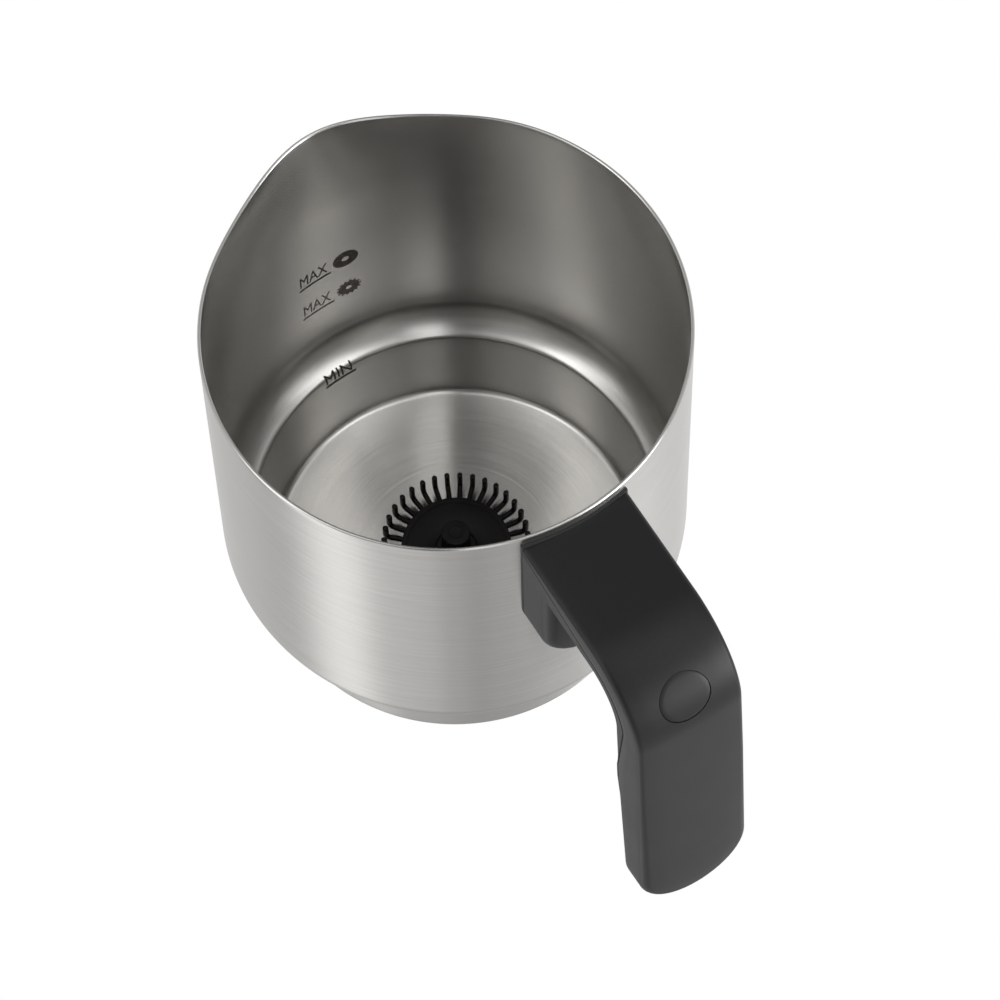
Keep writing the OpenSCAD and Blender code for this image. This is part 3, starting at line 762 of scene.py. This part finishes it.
def liner_half(part, soft):
    """Half section of the liner, whose inner face is bowed."""
    edge = (0.8 + 0.8 * soft) * MM
    lip = 0.3 * MM
    reach = HALF_W - edge

    def bow(y, r):
        return CROWN_R + BOW_R - sqrt(r * r - y * y)

    half = [(bow(reach * k / 8, BOW_R), reach * k / 8) for k in range(9)]
    side = max(bow(reach, BOW_R) + edge, min(INNER_R, part - lip - 0.3 * MM))
    if part - lip > side + 0.2 * MM:
        half += [(side - edge * 0.3, HALF_W - edge * 0.25), (side + 0.1 * MM, HALF_W)]
        half += [(side + (part - lip - side) * k / 3, HALF_W) for k in (1, 2, 3)]
    else:
        half += [(part - 0.55 * MM, HALF_W - 0.5 * MM), (part - 0.45 * MM, HALF_W - 0.2 * MM)]
        half += [(part - 0.4 * MM, HALF_W - 0.1 * MM), (part - 0.35 * MM, HALF_W - 0.05 * MM),
                 (part - 0.3 * MM, HALF_W - 0.02 * MM)]
    half += [(part - 0.06 * MM, HALF_W - lip - 0.1 * MM), (part - 0.06 * MM, HALF_W - SKIN)]
    inner = [(min(part - 0.06 * MM, CROWN_R + BOW_R - sqrt(max((BOW_R - SKIN) ** 2 - y * y, 0.0))), y)
             for y in [(HALF_W - SKIN) * k / 5 for k in (4.9, 4, 3, 2, 1, 0)]]
    narrowing = 1 - 1.9 * soft * MM / HALF_W
    return [(d, y * narrowing) for d, y in half + inner]


def flare_share(centre):
    """How much of the grip's widening is reached at one station."""
    return max(0.0, (KNEE - centre).length / GRIP_LEN) if centre.z < KNEE.z else 0.0


def swept(stations, half_section):
    """Sweeps a half section and its mirror image along the stations, then round the grip's end."""
    bm = bmesh.new()
    first_centre = stations[0][0]
    halves = [half_section(part, soft) for _, _, part, soft in stations]
    for sign in (1, -1):
        rows = []
        for (centre, out, _, _), half in zip(stations, halves):
            row = []
            for d, y in half:
                spot = centre + out * d + Vector((0, sign * y * (1 + FLARE * flare_share(centre)), 0))
                start_x = sqrt(HUG_R ** 2 - y * y)
                if centre.x < KNEE.x and out.z == 1:
                    share = (centre.x - first_centre.x) / (KNEE.x - first_centre.x)
                    spot.x = start_x + (KNEE.x - start_x) * share
                row.append(bm.verts.new(spot))
            rows.append(row)
        centre, out, _, _ = stations[-1]
        for i in range(1, 13):
            turn = pi / 2 * i / 12
            across = Vector((0, sign * cos(turn), 0)) + DOWN * sin(turn)
            rows.append([bm.verts.new(centre + out * d + across * y * (1 + FLARE))
                         for d, y in halves[-1]])
        for low, high in zip(rows, rows[1:]):
            for k in range(len(low) - 1):
                bm.faces.new((low[k], low[k + 1], high[k + 1], high[k]))
        bm.faces.new(rows[0])
    bmesh.ops.remove_doubles(bm, verts=bm.verts, dist=0.004 * MM)
    bmesh.ops.dissolve_degenerate(bm, edges=bm.edges, dist=0.004 * MM)
    bmesh.ops.triangulate(bm, faces=[f for f in bm.faces if len(f.verts) > 4])
    bmesh.ops.recalc_face_normals(bm, faces=bm.faces)
    return bm


def merged_with(bm, other, operation):
    """Joins another closed form to a bmesh, or cuts it away."""
    objects = []
    for form in (bm, other):
        bmesh.ops.recalc_face_normals(form, faces=form.faces)
        mesh = bpy.data.meshes.new("form")
        form.to_mesh(mesh)
        form.free()
        made = bpy.data.objects.new("form", mesh)
        bpy.context.scene.collection.objects.link(made)
        objects.append(made)
    modifier = objects[0].modifiers.new("form", "BOOLEAN")
    modifier.operation = operation
    modifier.solver = "EXACT"
    modifier.object = objects[1]
    seen = objects[0].evaluated_get(bpy.context.evaluated_depsgraph_get())
    mesh = bpy.data.meshes.new_from_object(seen)
    result = bmesh.new()
    result.from_mesh(mesh)
    for made in objects:
        bpy.data.objects.remove(made)
    bmesh.ops.remove_doubles(result, verts=result.verts, dist=0.002 * MM)
    return result


def pad_form():
    """The block that carries the handle: rounded along its edges, with wide lower corners."""
    bottom = HANDLE_TOP - PAD_H
    top = KNEE.z + INNER_R + 1.6 * MM
    corner, edge = PAD_CORNER_R, PAD_EDGE_R
    bm = bmesh.new()
    heights = [bottom + corner * (1 - cos(pi / 2 * k / 10)) for k in range(1, 11)]
    heights += [bottom + corner + (top - bottom - corner) * k / 5 for k in range(1, 6)]
    levels = [(bottom, 1.0 * MM)]
    for z in heights:
        rise = max(0.0, corner - (z - bottom))
        half_w = HALF_W - corner + sqrt(max(corner ** 2 - rise ** 2, 0.0))
        levels.append((z, max(half_w, 2.5 * MM)))
    loops = []
    for z, half_w in levels:
        soft = min(1.0, (z - bottom) / (2.5 * MM))
        front = PAD_FACE_X - 1.6 * MM * (1 - sqrt(1 - (1 - soft) ** 2))
        half_w = min(half_w, HALF_W - 0.03 * MM)
        ring = []
        for k in range(9):
            y = -half_w + 2 * half_w * k / 8
            ring.append((sqrt((HUG_R + 0.03 * MM) ** 2 - y * y), y))
        for k in range(7):
            turn = pi / 2 * k / 6
            ring.append((front - edge + edge * sin(turn), half_w - edge + edge * cos(turn))
                        if half_w > edge else (front, half_w * (1 - k / 6)))
        for k in range(7):
            turn = pi / 2 * k / 6
            ring.append((front - edge + edge * cos(turn), -half_w + edge - edge * sin(turn))
                        if half_w > edge else (front, -half_w * k / 6))
        verts = [bm.verts.new((x, y, z)) for x, y in ring]
        loops.append([bm.edges.new((verts[i], verts[(i + 1) % len(verts)])) for i in range(len(verts))])
    for a, b in zip(loops, loops[1:]):
        bmesh.ops.bridge_loops(bm, edges=a + b)
    bmesh.ops.holes_fill(bm, edges=[e for e in bm.edges if len(e.link_faces) < 2], sides=0)
    bmesh.ops.remove_doubles(bm, verts=bm.verts, dist=0.004 * MM)
    return bm


def cap_tool(r, inner, outer, dome):
    """A round plug on the knee's radius, whose outer end follows the knee's curve.

    With dome it also has a broken edge, as the cap has; without, it is the pocket's cutting tool."""
    out = Vector((cos(CAP_ANGLE), 0, sin(CAP_ANGLE)))
    along = Vector((-sin(CAP_ANGLE), 0, cos(CAP_ANGLE)))
    bm = bmesh.new()
    edge = min(0.35 * MM, r / 4)
    profile = [(0.0, inner), (r, inner), (r, outer - edge)]
    profile += [(r - 0.1 * MM, outer - 0.1 * MM), (r - edge, outer)] if dome else [(r, outer)]
    profile += [(r * k, outer) for k in (0.8, 0.6, 0.4, 0.2, 0.0)]
    steps = 64
    rows = []
    for i in range(steps):
        turn = 2 * pi * i / steps
        row = []
        for radius, depth in profile:
            side, up = radius * cos(turn), radius * sin(turn)
            level = depth
            if depth > inner:
                level = sqrt(depth * depth - up * up) - COVER_CROWN * (side / HALF_W) ** 2
            row.append(bm.verts.new(KNEE + out * level + along * up + Vector((0, side, 0))))
        rows.append(row)
    for i in range(steps):
        low, high = rows[i], rows[(i + 1) % steps]
        for k in range(len(profile) - 1):
            bm.faces.new((low[k], low[k + 1], high[k + 1], high[k]))
    bmesh.ops.remove_doubles(bm, verts=bm.verts, dist=0.002 * MM)
    bmesh.ops.dissolve_degenerate(bm, edges=bm.edges, dist=0.002 * MM)
    bmesh.ops.recalc_face_normals(bm, faces=bm.faces)
    return bm


def make_handle(cover_finish, liner_finish, cap_finish):
    """Cover with its pocket, liner with its pad, and the cap that fills the pocket."""
    stations = handle_path()
    cover = merged_with(swept(stations, cover_half),
                        cap_tool(CAP_R + 0.04 * MM, 17.9 * MM, KNEE_R + 1 * MM, False), "DIFFERENCE")
    finished("handle_cover_shell", cover, cover_finish, "root", "handle_plastic", "handle_cover",
             crease=30)
    liner = merged_with(swept(stations, liner_half), pad_form(), "UNION")
    finished("handle_liner_shell", liner, liner_finish, "root", "handle_plastic", "handle_liner",
             crease=30)
    cap = cap_tool(CAP_R, 20.0 * MM, KNEE_R - 0.05 * MM, True)
    finished("knee_cap_disc", cap, cap_finish, "root", "cap_plastic", "knee_cap", crease=30)


# ------------------------------------------------------------------ putting it together

aim_camera()
light_studio()
lay_floor()

STEEL_TONE = (0.62, 0.61, 0.59)
steel = brushed_steel("brushed_steel", STEEL_TONE, 0.012 * MM)
base_steel = brushed_steel("ferritic_steel", (0.5, 0.5, 0.49), 0.01 * MM, roughness=0.35)
turned_steel = plain_metal("turned_steel", (0.62, 0.61, 0.6), 0.25)
spring_steel = plain_metal("spring_steel", (0.36, 0.36, 0.37), 0.3)
aluminium = plain_metal("aluminium", (0.78, 0.79, 0.8), 0.35)
nickel = plain_metal("nickel_plate", (0.6, 0.59, 0.56), 0.2)
brass = plain_metal("brass", (0.7, 0.54, 0.26), 0.28)
bearing_white = soft_plastic("bearing_plastic", (0.8, 0.79, 0.74), 0.4)
silicone = soft_plastic("silicone", (0.02, 0.02, 0.02), 0.6)
handle_black = moulded_black("handle_plastic", (0.0085, 0.0085, 0.009), 0.46)
cap_black = moulded_black("cap_plastic", (0.010, 0.010, 0.0105), 0.44)
whisk_black = moulded_black("whisk_plastic", (0.007, 0.007, 0.0075), 0.5, gloss=0.2)
dark_print = level_print("dark_print", (0.035, 0.03, 0.024), STEEL_TONE, 0.6)
pale_print = level_print("pale_print", (0.15, 0.125, 0.105), STEEL_TONE, 0.42)
sign_print = level_print("sign_print", (0.075, 0.062, 0.05), STEEL_TONE, 0.5)

FINISH_OF_NODE = {
    "heat_spreader": aluminium, "spindle": turned_steel, "bearing_sleeve": bearing_white,
    "sleeve_clip": spring_steel, "whisk_magnets": nickel, "magnet_cover": whisk_black,
    "weld_plate": turned_steel, "handle_bracket": turned_steel, "mount_screws": nickel,
    "mount_washers": spring_steel, "pad_gasket": silicone, "handle_liner": handle_black,
    "handle_cover": handle_black, "knee_screw": nickel, "knee_insert": brass, "knee_cap": cap_black,
    "grip_screws": nickel, "grip_inserts": brass,
}
for node_name, finish in FINISH_OF_NODE.items():
    cad_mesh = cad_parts[node_name].data
    cad_mesh.materials.clear()
    cad_mesh.materials.append(finish)

make_jug(steel)
make_base_plate(base_steel)
make_froth_ring(whisk_black)
make_whisk_disc(whisk_black)
make_knob(whisk_black)
make_handle(handle_black, handle_black, cap_black)
make_level_mark("level_max_plain", "MAX", 190.0, 61.6 * MM, 4.6 * MM, dark_print,
                sign=(1.0 * MM, 0, sign_print))
make_level_mark("level_max_froth", "MAX", 189.7, 47.1 * MM, 4.6 * MM, pale_print,
                sign=(0.8 * MM, 14, pale_print))
make_level_mark("level_min", "MIN", 189.8, 21.2 * MM, 3.4 * MM, dark_print, sweep=10.6, rise=0.8 * MM)
